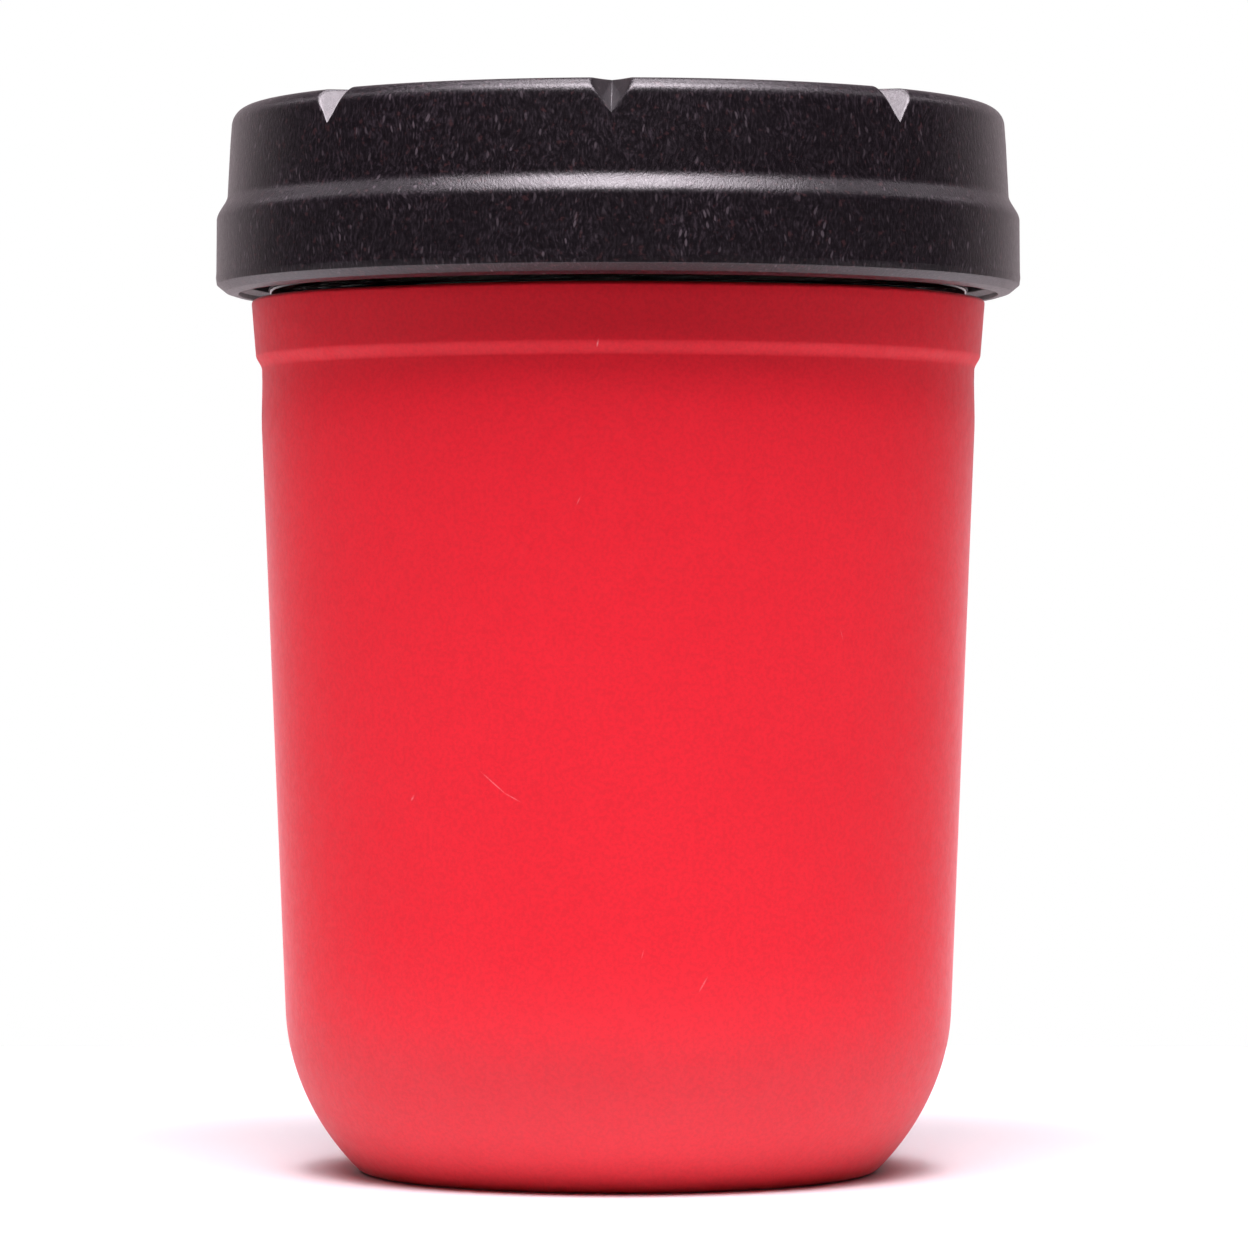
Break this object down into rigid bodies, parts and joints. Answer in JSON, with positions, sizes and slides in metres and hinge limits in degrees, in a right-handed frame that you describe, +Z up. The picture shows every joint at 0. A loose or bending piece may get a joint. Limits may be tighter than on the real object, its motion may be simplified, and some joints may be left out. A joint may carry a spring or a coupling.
{
  "type": "paint jar",
  "caption": "Glass screw-neck jar in a soft red rubber sleeve, closed by a two-tier black push-and-turn lid with notches round its top edge.",
  "frame": {"origin": "middle of the sleeve's foot, on the surface that the jar stands on", "axes": "+Z up along the jar's axis, -Y towards the front, where one of the lid's notches is"},
  "size_m": [0.0824, 0.0824, 0.1088],
  "materials": {
    "glass": "clear, gloss",
    "sleeve": "matte, soft touch",
    "seal": "matte",
    "inner_lid": "moulded, satin",
    "spring": "stamped, satin",
    "lid": "moulded, satin, flecked with fibre"
  },
  "bodies": {
    "jar": {"glass_jar": "glass", "silicone_sleeve": "sleeve"},
    "seal": {"seal_disc": "seal"},
    "inner_cap": {"inner_cap": "inner_lid"},
    "spring": {"press_spring": "spring"},
    "outer_cap": {"outer_cap": "lid"}
  },
  "joints": [
    {"name": "lid_lift", "type": "slide", "parent": "jar", "child": "seal", "axis": [0, 0, 1], "range_m": [0, 0.0204]},
    {"name": "lid_turn", "type": "hinge", "parent": "seal", "child": "inner_cap", "pos_m": [0, 0, 0.1], "axis": [0, 0, 1], "range_deg": [0, 1440]},
    {"name": "outer_spin", "type": "hinge", "parent": "inner_cap", "child": "spring", "pos_m": [0, 0, 0.1], "axis": [0, 0, 1], "continuous": true},
    {"name": "press", "type": "slide", "parent": "spring", "child": "outer_cap", "axis": [0, 0, 1], "range_m": [-0.0014, 0], "stiffness_N_per_m": 3000, "springref_m": 0.002, "deforming": ["press_spring"]}
  ],
  "couplings": [
    {"joint": "lid_lift", "follows": "lid_turn", "m_per_rad": 0.00080851}
  ]
}
